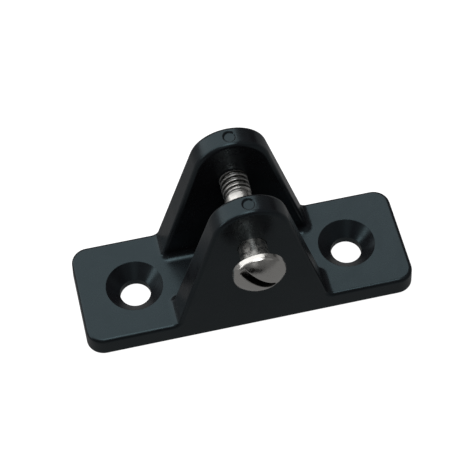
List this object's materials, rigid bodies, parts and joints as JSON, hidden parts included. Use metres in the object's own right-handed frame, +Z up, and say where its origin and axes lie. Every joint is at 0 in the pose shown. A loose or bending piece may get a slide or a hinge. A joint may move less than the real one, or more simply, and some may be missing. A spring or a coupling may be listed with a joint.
{
  "type": "deck hinge",
  "caption": "Moulded two-ear deck hinge with a slotted pivot screw, for the foot of a boat's bimini frame.",
  "frame": {"origin": "centre of the base's underside, where it sits on the deck", "axes": "+X along the base, +Y across it from the screw's head to its tip, +Z up out of the deck"},
  "size_m": [0.0762, 0.0351, 0.0414],
  "materials": {
    "nylon": "semi-gloss black moulded nylon",
    "stainless_steel": "polished stainless steel",
    "brass": "machined brass"
  },
  "bodies": {
    "base": {"hinge_body": "nylon", "threaded_insert": "brass"},
    "screw": {"pivot_screw": "stainless_steel"}
  },
  "joints": [
    {"name": "screw_travel", "type": "slide", "parent": "base", "child": "screw", "axis": [0, -1, 0], "range_m": [-0.0055, 0.0142]}
  ]
}
